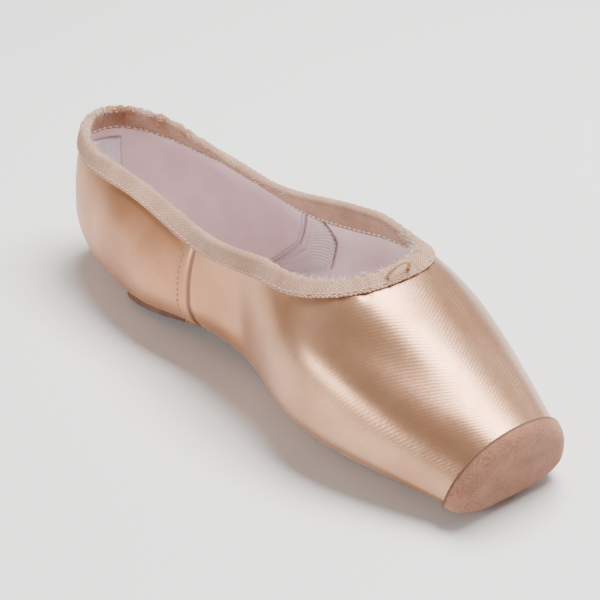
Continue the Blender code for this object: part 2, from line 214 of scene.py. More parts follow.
def half_width(x):
    return BALL_WIDTH * HALF_WIDTH_SHARE(x / SHOE_LENGTH) - rim_inset(x)


def widest_height(x):
    return INSTEP_HEIGHT * WIDEST_SHARE(x / SHOE_LENGTH) + RIM_RISE_BESIDE * rim_inset(x)


def floor_lift(x):
    share = (x / SHOE_LENGTH - HEEL_FLAT_END) / (BALL_FLAT_START - HEEL_FLAT_END)
    return ARCH_LIFT * math.sin(math.pi * min(1.0, max(0.0, share))) ** 2


def underside(x):
    return floor_lift(x) + SOLE_THICKNESS + GAP + RIM_RISE_BELOW * rim_inset(x)


def collar_half_width(x):
    return BALL_WIDTH * COLLAR_WIDTH_SHARE(x / SHOE_LENGTH)


def collar_height(x):
    return HEEL_HEIGHT * COLLAR_HEIGHT_SHARE(x / SHOE_LENGTH)


def rear_ridge(x):
    middle = widest_height(x)
    rise = 1 - (collar_half_width(x) / half_width(x)) ** UPPER_ROUNDNESS
    return middle + (collar_height(x) - middle) / rise ** (1 / UPPER_ROUNDNESS)


def vamp_ridge():
    corner = THROAT_CORNER * SHOE_LENGTH
    joins = (corner - HEEL_DEPTH / 8, corner)
    rows = tuple((x / SHOE_LENGTH, rear_ridge(x) / INSTEP_HEIGHT) for x in joins)
    return spline(rows + RIDGE, 1)


VAMP_RIDGE_SHARE = vamp_ridge()


def ridge_height(x):
    if x <= THROAT_CORNER * SHOE_LENGTH:
        return rear_ridge(x)
    return INSTEP_HEIGHT * VAMP_RIDGE_SHARE(x / SHOE_LENGTH) - rim_inset(x)


def wall(x):
    into_box = (x / SHOE_LENGTH - BOX_START) / (BOX_FULL - BOX_START)
    return QUARTER_WALL + (BOX_WALL - QUARTER_WALL) * smooth(into_box)


def reach_and_station(x, y):
    if x >= HEEL_DEPTH:
        return abs(y) / half_width(x), x
    behind = (HEEL_DEPTH - x) / HEEL_DEPTH
    station = x
    for _ in range(4):
        reach = max(math.hypot(behind, y / half_width(station)), NORMAL_STEP)
        station = HEEL_DEPTH * (1 - behind / reach)
    return reach, max(0.0, station)


def form_value(x, y, z):
    """Zero on the last's surface and negative inside it."""
    reach, station = reach_and_station(x, y)
    middle = widest_height(station)
    if z >= middle:
        rise = (z - middle) / (ridge_height(station) - middle)
        return reach**UPPER_ROUNDNESS + rise**UPPER_ROUNDNESS - 1
    side = max(0.0, (reach - FLAT_SHARE) / (1 - FLAT_SHARE))
    drop = (middle - z) / (middle - underside(station))
    return side**LOWER_ROUNDNESS + drop**LOWER_ROUNDNESS - 1


def gradient(point):
    parts = []
    for axis in range(3):
        ahead, behind = list(point), list(point)
        ahead[axis] += NORMAL_STEP
        behind[axis] -= NORMAL_STEP
        parts.append((form_value(*ahead) - form_value(*behind)) / (2 * NORMAL_STEP))
    return Vector(parts)


def normal(point):
    """The outward direction of the last's surface."""
    if point.x >= SHOE_LENGTH - NORMAL_STEP:
        return Vector((1, 0, 0))
    outward = gradient(point)
    if abs(point.y) < NORMAL_STEP:
        outward.y = 0
    return outward.normalized()


def onto_form(point):
    for _ in range(4):
        slope = gradient(point)
        point = point - slope * (form_value(*point) / slope.length_squared)
    return point


def fan_swing(along):
    return (1 - along / HEEL_DEPTH) * math.pi / 2


def form_point(along, place):
    """A point on the last. The place runs from -2 to -1 over the flat underneath,
    to 0 at the widest line and to 1 at the ridge."""
    if along < HEEL_DEPTH:
        swing = fan_swing(along)
        station = HEEL_DEPTH * (1 - math.sin(swing))
        out = Vector((station - HEEL_DEPTH, half_width(station) * math.cos(swing), 0))
        axis = HEEL_DEPTH
    else:
        axis = station = along
        out = Vector((0, half_width(along), 0))
    middle = widest_height(station)
    sine, cosine = abs(math.sin(place * math.pi / 2)), max(0.0, math.cos(place * math.pi / 2))
    if place <= -1:
        reach, z = FLAT_SHARE * (place + 2), underside(station)
    elif place <= 0:
        power = 2 / LOWER_ROUNDNESS
        reach = FLAT_SHARE + (1 - FLAT_SHARE) * cosine**power
        z = middle - (middle - underside(station)) * sine**power
    else:
        power = 2 / UPPER_ROUNDNESS
        reach = cosine**power if place < 1 else 0.0
        z = middle + (ridge_height(station) - middle) * sine**power
    return Vector((axis, 0, z)) + out * reach


def place_of_reach(reach):
    if reach <= FLAT_SHARE:
        return reach / FLAT_SHARE - 2
    side = (reach - FLAT_SHARE) / (1 - FLAT_SHARE)
    return -math.acos(side ** (LOWER_ROUNDNESS / 2)) * 2 / math.pi


def leaned(point):
    """The point after the platform's lean, which sets its lower edge back."""
    share = smooth((point.x / SHOE_LENGTH - LEAN_START) / (1 - LEAN_START))
    drop = RIDGE[-1][1] * INSTEP_HEIGHT - point.z
    return Vector((point.x - math.tan(FACE_LEAN) * drop * share, point.y, point.z))


def skin_point(along, place, depth):
    point = form_point(along, place)
    return leaned(point - normal(point) * depth)


OPENING_START = OUTSOLE[0][0] + OPENING_MARGIN
OPENING_END = OUTSOLE[-1][0] - OPENING_MARGIN


def outsole_reach(along):
    share = along / SHOE_LENGTH
    heel = round_end(share - OUTSOLE[0][0], OUTSOLE_HEEL_ROUND)
    return OUTSOLE_SHARE(share) * heel * round_end(OUTSOLE[-1][0] - share, OUTSOLE_TOE_ROUND)


def opening_reach(along):
    share = along / SHOE_LENGTH
    ends = round_end(share - OPENING_START, OPENING_ROUND)
    ends *= round_end(OPENING_END - share, OPENING_ROUND)
    return OPENING_SHARE * OUTSOLE_SHARE(share) * ends


def collar_place(station):
    """The collar edge's place up the section."""
    rise = collar_height(station) - widest_height(station)
    rise /= ridge_height(station) - widest_height(station)
    return math.asin(rise ** (UPPER_ROUNDNESS / 2)) * 2 / math.pi


def collar_edge(index, fan, body, throat):
    """Place along and up the section of each step's collar edge."""
    corner, front = THROAT_CORNER * SHOE_LENGTH, THROAT_FRONT * SHOE_LENGTH
    if index <= fan:
        along = HEEL_DEPTH * index / fan
        station = HEEL_DEPTH * (1 - math.sin(fan_swing(along)))
    elif index <= fan + body:
        along = station = HEEL_DEPTH + (corner - HEEL_DEPTH) * (index - fan) / body
    else:
        turn = math.pi / 2 * (index - fan - body) / throat
        power = 2 / THROAT_ROUNDNESS
        along = corner + (front - corner) * math.sin(turn) ** power
        reach = collar_half_width(corner) * max(0.0, math.cos(turn)) ** power / half_width(along)
        return along, math.acos(reach ** (UPPER_ROUNDNESS / 2)) * 2 / math.pi
    return along, collar_place(station)


def rim_stations():
    start = SHOE_LENGTH - RIM_RADIUS
    turns = [math.pi / 2 * i / RIM_STEPS for i in range(1, RIM_STEPS + 1)]
    return [start + RIM_RADIUS * math.sin(turn) for turn in turns]


def section(low_along, low_place, high_along, high_place):
    places = [low_place + (-1 - low_place) * i / FLAT_ROWS for i in range(FLAT_ROWS)]
    places += [-1 + i / LOWER_ROWS for i in range(LOWER_ROWS)]
    places += [high_place * i / UPPER_ROWS for i in range(UPPER_ROWS + 1)]
    askew = high_along - low_along
    return [(low_along + askew * smooth((p + 1) / (high_place + 1)), p) for p in places]


def spaced(start, end, steps):
    return [start + (end - start) * i / steps for i in range(steps)]


def eased(start, end, steps):
    shares = [(1 - math.cos(math.pi * i / steps)) / 2 for i in range(steps + 1)]
    return [start + (end - start) * share for share in shares]


FAR, DOWN, BACK, FORWARD = (0, 1, 0), (0, 0, -1), (-1, 0, 0), (1, 0, 0)

# Cloth is a bmesh grid whose corners are moved onto the last.


def cloth_grid(grid, point_at):
    """A sheet with a corner at each of the grid's places. Its UV map holds lengths in metres:
    the place along the last, and the way round the section from its upper end."""
    shape = bmesh.new()
    weave = shape.loops.layers.uv.new("cloth")
    columns, rows = len(grid) - 1, len(grid[0]) - 1
    bmesh.ops.create_grid(shape, x_segments=columns, y_segments=rows, size=0.5)
    corners = {}
    for vert in shape.verts:
        corners[round((vert.co.x + 0.5) * columns), round((vert.co.y + 0.5) * rows)] = vert
    lengths = {}
    for i in range(columns + 1):
        travelled = 0.0
        for j in range(rows, -1, -1):
            vert = corners[i, j]
            vert.co = point_at(*grid[i][j])
            if j < rows:
                travelled += (vert.co - corners[i, j + 1].co).length
            lengths[vert] = (grid[i][j][0], travelled)
    for face in shape.faces:
        for loop in face.loops:
            loop[weave].uv = lengths[loop.vert]
    return shape


def both_halves(shape):
    """The other half, joined along the middle."""
    bmesh.ops.remove_doubles(shape, verts=shape.verts, dist=0.000001)
    everything = shape.verts[:] + shape.edges[:] + shape.faces[:]
    bmesh.ops.mirror(shape, geom=everything, matrix=Matrix(), merge_dist=0.00001, axis="Y")
    bmesh.ops.dissolve_degenerate(shape, dist=0.000001, edges=shape.edges)


def close_tip(shape):
    """Fills the open border at the platform's face."""
    border = [edge for edge in shape.edges if edge.is_boundary]
    rim = [edge for edge in border if all(on_rim(vert) for vert in edge.verts)]
    made = bmesh.ops.contextual_create(shape, geom=rim)["faces"]
    bmesh.ops.poke(shape, faces=made)


def on_rim(vert):
    """Whether a corner lies in the plane of the platform's face."""
    upright = vert.co.x + math.tan(FACE_LEAN) * (RIDGE[-1][1] * INSTEP_HEIGHT - vert.co.z)
    return upright > SHOE_LENGTH - NORMAL_STEP


def face_towards(shape, side, way):
    """Turns the whole sheet so that its face furthest to one side looks a given way."""
    bmesh.ops.recalc_face_normals(shape, faces=shape.faces)
    furthest = max(shape.faces, key=lambda face: face.calc_center_median().dot(Vector(side)))
    if furthest.normal.dot(Vector(way)) < 0:
        bmesh.ops.reverse_faces(shape, faces=shape.faces)


def placed(name, data):
    made = bpy.data.objects.new(name, data)
    bpy.context.scene.collection.objects.link(made)
    return made


def finished(name, shape, looks, node=None):
    """The piece as an object, with its finishes, riding on the shoe."""
    data = bpy.data.meshes.new(name)
    bmesh.ops.translate(shape, verts=shape.verts, vec=TO_MIDDLE)
    shape.to_mesh(data)
    shape.free()
    data.shade_smooth()
    for look in looks:
        data.materials.append(look)
    piece = placed(name, data)
    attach(piece, "root")
    if node:
        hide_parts(node)
    return piece


def thickened(piece, thickness, inside_look=0, share="", edge_round=0.0):
    """Thickness grows inwards from the outer face."""
    solid = piece.modifiers.new("Thickness", "SOLIDIFY")
    solid.thickness = thickness
    solid.offset = -1
    solid.material_offset = inside_look
    solid.vertex_group = share
    if edge_round:
        bevel = piece.modifiers.new("Soft edge", "BEVEL")
        bevel.width = edge_round
        bevel.segments = 2
        bevel.limit_method = "ANGLE"
        bevel.angle_limit = math.radians(50)


# Shader maths.


class Value:
    """A socket whose sums are Math nodes."""

    def __init__(self, look, socket):
        self.look, self.socket = look, socket

    def _math(self, kind, *others):
        return self.look.node("ShaderNodeMath", {"operation": kind}, [self, *others])

    def __add__(self, other):
        return self._math("ADD", other)

    def __sub__(self, other):
        return self._math("SUBTRACT", other)

    def __mul__(self, other):
        return self._math("MULTIPLY", other)

    def __truediv__(self, other):
        return self._math("DIVIDE", other)

    def __rsub__(self, other):
        return self.look.node("ShaderNodeMath", {"operation": "SUBTRACT"}, [other, self])

    __radd__ = __add__
    __rmul__ = __mul__

    def sine(self):
        return self._math("SINE")

    def absolute(self):
        return self._math("ABSOLUTE")

    def fraction(self):
        return self._math("FRACT")

    def clamped(self):
        return self.look.node("ShaderNodeClamp", {}, [self])

    def eased(self, low, high):
        """0 at low and 1 at high, smooth between."""
        settings = {"interpolation_type": "SMOOTHSTEP"}
        return self.look.node("ShaderNodeMapRange", settings, [self, low, high, 0, 1])


def opaque(colour):
    return colour if isinstance(colour, Value) else (*colour, 1)


class Look:
    """A material, built node by node round one Principled shader."""

    def __init__(self, name, roughness, **constants):
        self.data = bpy.data.materials.new(name)
        self.data.use_nodes = True
        self.nodes = self.data.node_tree.nodes
        self.links = self.data.node_tree.links
        self.shader = self.nodes["Principled BSDF"]
        self.shader.inputs["Roughness"].default_value = roughness
        for socket, value in constants.items():
            self.shader.inputs[socket.replace("_", " ")].default_value = value

    def plug(self, socket, value):
        if isinstance(value, Value):
            self.links.new(value.socket, socket)
        else:
            socket.default_value = value

    def node(self, kind, settings, values, output=0):
        """A node with its settings, then its sockets by number or name; its output's Value."""
        made = self.nodes.new(kind)
        for name, setting in settings.items():
            setattr(made, name, setting)
        pairs = values.items() if isinstance(values, dict) else enumerate(values)
        for socket, value in pairs:
            self.plug(made.inputs[socket], value)
        return Value(self, made.outputs[output])

    def object_place(self):
        return self.node("ShaderNodeTexCoord", {}, {}, "Object")

    def parts(self, vector):
        """A vector's three parts."""
        first = self.node("ShaderNodeSeparateXYZ", {}, [vector])
        return [Value(self, socket) for socket in first.socket.node.outputs]

    def uv(self):
        return self.parts(self.node("ShaderNodeUVMap", {"uv_map": "cloth"}, {}))[:2]

    def axes(self):
        return self.parts(self.object_place())

    def noise(self, scale, detail=2.0, roughness=0.5, vector=None):
        place = vector or self.object_place()
        values = {"Vector": place, "Scale": scale, "Detail": detail, "Roughness": roughness}
        return self.node("ShaderNodeTexNoise", {}, values, "Fac")

    def near(self, centre, radius):
        """1 at a point of the shoe and 0 beyond the radius."""
        ends = [self.object_place(), centre]
        away = self.node("ShaderNodeVectorMath", {"operation": "DISTANCE"}, ends, "Value")
        return 1 - away.eased(radius * MARK_CORE, radius)

    def mixed(self, share, first, second):
        """A colour between two, by a share."""
        values = {"Factor": share, 6: opaque(first), 7: opaque(second)}
        return self.node("ShaderNodeMix", {"data_type": "RGBA"}, values, 2)

    def cloudy(self, scale, detail, first, second, low=0.3):
        """Two colours in soft clouds."""
        return self.mixed(self.noise(scale, detail).eased(low, 0.7), first, second)

    def colour(self, value):
        self.plug(self.shader.inputs["Base Color"], opaque(value))

    def rough(self, value):
        self.plug(self.shader.inputs["Roughness"], value)

    def bump(self, height, distance, strength=1.0):
        """The height is 0 to 1, over a real distance in metres."""
        values = {"Height": height, "Distance": distance, "Strength": strength}
        raised = self.node("ShaderNodeBump", {}, values)
        self.plug(self.shader.inputs["Normal"], raised)

    def wave(self, way, period):
        """A sine along a length, one turn to each period."""
        return (way * (2 * math.pi / period)).sine()


# A mark is at its full strength over this share of its radius.
MARK_CORE = 0.15
# Painted shade low on the satin's near quarter, then stains on the tape: centre, radius and strength.
PAINTED_SHADE_PLACES = (
    ((-0.0641, -0.0313, 0.0240), 0.019, 0.55),
    ((-0.0400, -0.0303, 0.0180), 0.012, 0.15),
)
TAPE_STAINS = (
    ((-0.1115, 0.0085, 0.0580), 0.0090, 0.9),
    ((-0.0980, 0.0175, 0.0555), 0.0075, 0.8),
    ((-0.0840, 0.0190, 0.0545), 0.0060, 0.7),
)
SEAM_X = SEAM_SHARE * SHOE_LENGTH + TO_MIDDLE.x
SEAM_LINE_CORE, SEAM_LINE_EDGE = 0.0003, 0.0010
SOILED_LOW, SOILED_HIGH = 0.002, 0.012
WEFT_PERIOD = 0.00110
PLAIN_PERIOD = 0.0007
INSOLE_PERIOD = 0.0009
STRAND_PERIOD = 0.0009
# The tape's herringbone turns over every half of its width here; the rib's period runs along.
HERRINGBONE_WIDTH = 0.0036
TAPE_RIB_PERIOD = 0.00125
INNER_RIB_PERIOD = 0.0013
# The suede darkens towards its edge: fully within the first distance, fading out by the second.
DARK_RIM_CORE, DARK_RIM_EDGE = 0.0004, 0.0013


def marks(look, places):
    """The strength of a list of marks, added up."""
    first, *others = [look.near(centre, radius) * share for centre, radius, share in places]
    return sum(others, first)


def peach_satin():
    look = Look(
        "peach_satin",
        0.32,
        Metallic=0.68,
        Specular_IOR_Level=0.70,
        Coat_Weight=0.22,
        Coat_Roughness=0.36,
        Sheen_Weight=0.08,
        Sheen_Roughness=0.4,
        Sheen_Tint=(1.0, 0.86, 0.76, 1),
    )
    along, round_way = look.uv()
    x, _, z = look.axes()
    cloudy = look.noise(38, 3).eased(0.35, 0.68)
    warm = look.mixed(cloudy, (0.500, 0.215, 0.098), (0.590, 0.275, 0.138))
    pale = look.mixed(cloudy, (0.445, 0.222, 0.120), (0.545, 0.292, 0.172))
    shade = look.mixed(x.eased(0.000, 0.060), warm, pale)
    # Painted shade low on the near quarter by the heel, darkening the satin there.
    shade = look.mixed(marks(look, PAINTED_SHADE_PLACES).clamped(), shade, (0.33, 0.135, 0.070))
    seam = (1 - (x - SEAM_X).absolute().eased(SEAM_LINE_CORE, SEAM_LINE_EDGE)) * 0.80
    shade = look.mixed(seam, shade, (0.090, 0.036, 0.020))
    low = 1 - z.eased(SOILED_LOW, SOILED_HIGH)
    look.colour(look.mixed(low * (look.noise(160, 4) * 0.5), shade, (0.40, 0.235, 0.150)))
    behind = 1 - x.eased(SEAM_X - 0.002, SEAM_X + 0.002)
    look.rough(look.noise(420, 2) * 0.10 + 0.25 + low * 0.14 + behind * 0.14)
    diagonal = (along + round_way * 0.5) * (2 * math.pi / WEFT_PERIOD)
    weft = (diagonal + look.noise(220, 1) * 2.0).sine() * 0.5 + 0.5
    slub = look.node("ShaderNodeCombineXYZ", {}, [along * 1000, round_way * 70, 0])
    threads = look.noise(1.0, 2, vector=slub)
    look.bump(weft * 0.25 + threads * 0.6, 0.00008, 0.6)
    return look.data


def mauve_lining():
    look = Look("mauve_lining", 0.85, Sheen_Weight=0.25)
    look.colour(look.cloudy(60, 3, (0.800, 0.620, 0.650), (0.880, 0.720, 0.735), 0.35))
    along, round_way = look.uv()
    warp, weft = look.wave(along, PLAIN_PERIOD), look.wave(round_way, PLAIN_PERIOD)
    look.bump(warp * weft * 0.35 + 0.5 + look.noise(900, 2) * 0.3, 0.00008, 0.7)
    return look.data


def toe_suede():
    sheen = {"Sheen_Weight": 0.22, "Sheen_Roughness": 0.6, "Sheen_Tint": (0.95, 0.78, 0.68, 1)}
    look = Look("toe_suede", 0.96, Specular_IOR_Level=0.15, **sheen)
    patchy = look.noise(130, 4)
    tone = look.mixed(patchy.eased(0.3, 0.7), (0.235, 0.092, 0.054), (0.345, 0.155, 0.098))
    fine = look.noise(2100, 3)
    napped = look.mixed(fine.eased(0.40, 0.66) * 0.6, tone, (0.43, 0.225, 0.150))
    edge = look.node("ShaderNodeAttribute", {"attribute_name": "border"}, {}, "Fac")
    # The suede is darker within a millimetre or so of its edge.
    dark_rim = (1 - edge.eased(DARK_RIM_CORE, DARK_RIM_EDGE)) * 0.85
    look.colour(look.mixed(dark_rim, napped, (0.100, 0.048, 0.030)))
    look.bump(fine * 0.8 + look.noise(3600, 2) * 0.3 + patchy * 0.4, 0.00050, 0.9)
    return look.data


def cream_tape():
    look = Look("cream_tape", 0.80, Sheen_Weight=0.16)
    along, across = look.uv()
    turn = ((across / HERRINGBONE_WIDTH).fraction() - 0.5).absolute() * (2 * HERRINGBONE_WIDTH)
    rib = look.wave(along + turn * 0.8, TAPE_RIB_PERIOD) * 0.5 + 0.5
    tone = look.cloudy(90, 3, (0.420, 0.212, 0.124), (0.570, 0.338, 0.228))
    # Painted shade in the rib's hollows and a painted highlight on its crests, following the same rib
    # as the bump.
    tone = look.mixed((1 - rib).eased(0.35, 0.9) * 0.7, tone, (0.27, 0.122, 0.066))
    tone = look.mixed(rib.eased(0.75, 1.0) * 0.4, tone, (0.80, 0.64, 0.52))
    grime = marks(look, TAPE_STAINS) * 1.3 * look.noise(260, 3).eased(0.20, 0.50)
    look.colour(look.mixed(grime.clamped(), tone, (0.30, 0.125, 0.060)))
    look.bump(rib * 0.8 + look.noise(2200, 2) * 0.35, 0.00030, 0.9)
    return look.data


def thread(name, roughness, scale, first, second):
    look = Look(name, roughness)
    look.colour(look.mixed(look.noise(scale, 2), first, second))
    look.bump(look.noise(5000, 2), 0.0001, 0.5)
    return look.data


def ochre_cord():
    look = Look("ochre_cord", 0.7, Sheen_Weight=0.3)
    _, y, z = look.axes()
    strand = look.wave(y + z * 0.8, STRAND_PERIOD) * 0.5 + 0.5
    # Lighter on the strands and darker between them: painted highlight and painted shade following
    # the bump.
    look.colour(look.mixed(strand, (0.430, 0.225, 0.090), (0.680, 0.420, 0.210)))
    look.bump(strand * 0.8 + look.noise(3000, 2) * 0.3, 0.00025, 0.9)
    return look.data


def sole_leather():
    look = Look("sole_leather", 0.55, Specular_IOR_Level=0.35)
    values = {"Vector": look.object_place(), "Scale": 900}
    grain = look.node("ShaderNodeTexVoronoi", {"feature": "DISTANCE_TO_EDGE"}, values, "Distance")
    patchy = look.noise(70, 4)
    tone = look.mixed(patchy.eased(0.3, 0.7), (0.120, 0.055, 0.034), (0.190, 0.092, 0.056))
    scuffs = look.noise(26, 5, 0.7).eased(0.56, 0.68) * 0.35
    look.colour(look.mixed(scuffs, tone, (0.30, 0.18, 0.12)))
    look.rough(patchy * 0.2 + 0.45 + scuffs * 0.3)
    look.bump(grain.eased(0.0, 0.25) * 0.6 + look.noise(240, 4) * 0.6, 0.00018, 0.7)
    return look.data


def insole_cloth():
    look = Look("insole_cloth", 0.9, Sheen_Weight=0.2)
    look.colour(look.cloudy(55, 4, (0.700, 0.600, 0.630), (0.780, 0.680, 0.700)))
    x, y, _ = look.axes()
    warp, weft = look.wave(x, INSOLE_PERIOD), look.wave(y, INSOLE_PERIOD)
    look.bump(warp * weft * 0.4 + 0.5 + look.noise(1100, 2) * 0.3, 0.00012, 0.8)
    return look.data


def heel_cloth():
    look = Look("heel_cloth", 0.85, Sheen_Weight=0.2)
    look.colour(look.cloudy(70, 3, (0.760, 0.700, 0.760), (0.850, 0.800, 0.850)))
    look.bump(look.noise(1200, 3), 0.00012, 0.7)
    return look.data


def pale_tape():
    look = Look("pale_tape", 0.8, Sheen_Weight=0.25)
    along, across = look.uv()
    rib = look.wave(along + across * 0.8, INNER_RIB_PERIOD) * 0.5 + 0.5
    # Lighter on the rib's crests and darker between them: painted highlight and painted shade
    # following the bump.
    look.colour(look.mixed(rib, (0.580, 0.470, 0.500), (0.850, 0.760, 0.780)))
    look.bump(rib * 0.8 + look.noise(2500, 2) * 0.3, 0.00018, 0.9)
    return look.data


SATIN = peach_satin()
LINING = mauve_lining()
SUEDE = toe_suede()
TAPE = cream_tape()
WHITE_THREAD = thread("white_thread", 0.6, 1200, (0.80, 0.74, 0.66), (0.90, 0.87, 0.82))
PEACH_THREAD = thread("peach_thread", 0.55, 900, (0.56, 0.33, 0.21), (0.68, 0.44, 0.31))
CORD = ochre_cord()
LEATHER = sole_leather()
INSOLE = insole_cloth()
PALE_TAPE = pale_tape()
HEEL_CLOTH = heel_cloth()

# Creases of the satin. Each runs through places on the last:
# the side (-1 near, 1 far, 0 both), width and depth in metres, and its
# points as (share of the length, place).
CREASES = (
    # The long hollow down the near side of the vamp.
    (-1, 0.0076, 0.0009, ((0.620, 0.34), (0.740, 0.52), (0.830, 0.66), (0.930, 0.78))),
    (1, 0.0090, 0.0005, ((0.640, 0.40), (0.760, 0.52), (0.880, 0.60))),
    # Soft draws in the quarters.
    (-1, 0.0085, 0.0009, ((0.210, -0.30), (0.260, 0.05), (0.335, 0.42))),
    (1, 0.0085, 0.0009, ((0.200, -0.30), (0.250, 0.05), (0.310, 0.40))),
    (0, 0.0070, 0.0005, ((0.470, 0.40), (0.520, 0.10), (0.570, -0.20))),
    # Short draws where the tape bends round the corners of the throat.
    (0, 0.0016, 0.0005, ((0.600, 0.70), (0.625, 0.58))),
    (0, 0.0016, 0.0005, ((0.630, 0.70), (0.655, 0.58))),
    (0, 0.0016, 0.0006, ((0.662, 0.72), (0.690, 0.60))),
    (0, 0.0016, 0.0006, ((0.695, 0.76), (0.722, 0.66))),
    (0, 0.0016, 0.0005, ((0.722, 0.84), (0.748, 0.78))),
)
# Pleats of the satin drawn in under the sole: how many to a side, where along, width and depth.
TOE_PLEATS = (11, 0.850, 0.965, 0.0011, 0.0008)
HEEL_PLEATS = (7, 0.060, 0.230, 0.0015, 0.0005)
# Each runs from under the shoe past its lower edge to a height that varies from one to the next.
PLEAT_BELOW, PLEAT_EDGE, PLEAT_ABOVE = -1.25, -0.95, -0.52
PLEAT_UNEVEN, PLEAT_RHYTHM = 0.10, 2.4
CREASE_STEPS = 14
CREASE_FADE = 0.6


def pleat_lines():
    lines = []
    for count, start, end, width, depth in (TOE_PLEATS, HEEL_PLEATS):
        for k in range(count):
            share = start + (end - start) * (k + 0.5) / count
            above = PLEAT_ABOVE - PLEAT_UNEVEN * math.sin(k * PLEAT_RHYTHM)
            places = (PLEAT_BELOW, PLEAT_EDGE, above)
            lines.append((0, width, depth, tuple((share, place) for place in places)))
    return lines


def crease_samples(side, points):
    """Points on the last through a crease's places, with the strength that fades to its ends."""
    samples, strengths = [], []
    for k in range(CREASE_STEPS + 1):
        at = (len(points) - 1) * k / CREASE_STEPS
        i = min(int(at), len(points) - 2)
        share = points[i][0] + (points[i + 1][0] - points[i][0]) * (at - i)
        place = points[i][1] + (points[i + 1][1] - points[i][1]) * (at - i)
        point = leaned(form_point(share * SHOE_LENGTH, place))
        samples.append((point.x, point.y * side, point.z))
        strengths.append(max(0.0, math.sin(math.pi * k / CREASE_STEPS)) ** CREASE_FADE)
    return np.array(samples), np.array(strengths)


def pushed(piece, amounts_at):
    """Moves each corner along its normal, by what the function says for all the places."""
    count = len(piece.data.vertices)
    places, normals = np.empty(count * 3), np.empty(count * 3)
    piece.data.vertices.foreach_get("co", places)
    piece.data.vertices.foreach_get("normal", normals)
    places, normals = places.reshape(-1, 3), normals.reshape(-1, 3)
    places += normals * amounts_at(places)[:, None]
    piece.data.vertices.foreach_set("co", places.ravel())
    piece.data.update()


# A crease reaches this many of its widths, with a low shoulder at each side.
CREASE_REACH = 4
SHOULDER, SHOULDER_AT = 0.35, 1.9


def crease_line(spots, samples, strengths, reach):
    """Distance from each spot to a crease, and the crease's strength there."""
    nearest, strength = np.full(len(spots), reach), np.zeros(len(spots))
    for k in range(len(samples) - 1):
        step = samples[k + 1] - samples[k]
        share = np.clip((spots - samples[k]) @ step / (step @ step), 0, 1)
        apart = np.linalg.norm(spots - samples[k] - share[:, None] * step, axis=1)
        closer = apart < nearest
        nearest[closer] = apart[closer]
        blend = strengths[k] + (strengths[k + 1] - strengths[k]) * share
        strength[closer] = blend[closer]
    return nearest, strength


def crease_depths(places):
    """Inwards in each trough, and outwards on its low shoulders."""
    on_last = places - np.array(TO_MIDDLE)
    move = np.zeros(len(places))
    for side, width, depth, points in list(CREASES) + pleat_lines():
        for way in (-1, 1) if side == 0 else (side,):
            samples, strengths = crease_samples(way, points)
            reach = CREASE_REACH * width
            near = np.all(on_last > samples.min(axis=0) - reach, axis=1)
            near &= np.all(on_last < samples.max(axis=0) + reach, axis=1)
            nearest, strength = crease_line(on_last[near], samples, strengths, reach)
            distance = nearest / width
            shoulder = SHOULDER * np.exp(-((distance - SHOULDER_AT) ** 2))
            move[near] -= depth * strength * (np.exp(-(distance**2)) - shoulder)
    return move


# The seam's relief: where it starts above the floor, its ramps, and how much the band thins.
RELIEF_FLOOR, RELIEF_RAMP = 0.011, 0.004
BAND_BACK_RAMP, BAND_FRONT_RAMP = 0.0012, 0.0008
BAND_THIN, GROOVE_DEPTH = 0.55, 0.0005


def seam_relief(places):
    """The side seams' grooves and the doubled cloth behind them."""
    ahead = places[:, 0] - SEAM_X
    above = np.clip((places[:, 2] - RELIEF_FLOOR) / RELIEF_RAMP, 0, 1)
    band = np.clip((ahead + SEAM_BAND) / BAND_BACK_RAMP, 0, 1)
    band *= np.clip(-ahead / BAND_FRONT_RAMP, 0, 1)
    band *= BAND_THIN + (1 - BAND_THIN) * np.clip(1 + ahead / SEAM_BAND, 0, 1)
    groove = np.exp(-((ahead / SEAM_GROOVE) ** 2))
    return (band * BAND_RISE - groove * GROOVE_DEPTH) * above


def upper_grid():
    rim_start = SHOE_LENGTH - RIM_RADIUS
    opening_start, opening_end = OPENING_START * SHOE_LENGTH, OPENING_END * SHOE_LENGTH
    front_steps = BODY_STEPS + THROAT_STEPS + VAMP_STEPS - HEEL_STEPS - OPENING_STEPS
    lows = spaced(0, HEEL_DEPTH, FAN_STEPS) + spaced(HEEL_DEPTH, opening_start, HEEL_STEPS)
    lows += spaced(opening_start, opening_end, OPENING_STEPS)
    lows += spaced(opening_end, rim_start, front_steps)
    stations = FAN_STEPS + BODY_STEPS + THROAT_STEPS
    highs = [collar_edge(index, FAN_STEPS, BODY_STEPS, THROAT_STEPS) for index in range(stations)]
    highs += [(along, 1.0) for along in spaced(THROAT_FRONT * SHOE_LENGTH, rim_start, VAMP_STEPS)]
    rims = [rim_start] + rim_stations()
    lows += rims
    highs += [(along, 1.0) for along in rims]
    return [section(low, place_of_reach(opening_reach(low)), *high) for low, high in zip(lows, highs)]


def satin_upper():
    """Satin outside and lining inside, open at the collar and under the foot."""
    shape = cloth_grid(upper_grid(), lambda along, place: leaned(form_point(along, place)))
    both_halves(shape)
    close_tip(shape)
    face_towards(shape, FAR, FAR)
    piece = finished("satin_upper", shape, (SATIN, LINING), "upper")
    pushed(piece, crease_depths)
    pushed(piece, seam_relief)
    thick = piece.vertex_groups.new(name="wall")
    for vert in piece.data.vertices:
        thick.add([vert.index], wall(vert.co.x - TO_MIDDLE.x) / BOX_WALL, "REPLACE")
    thickened(piece, BOX_WALL, inside_look=1, share="wall")


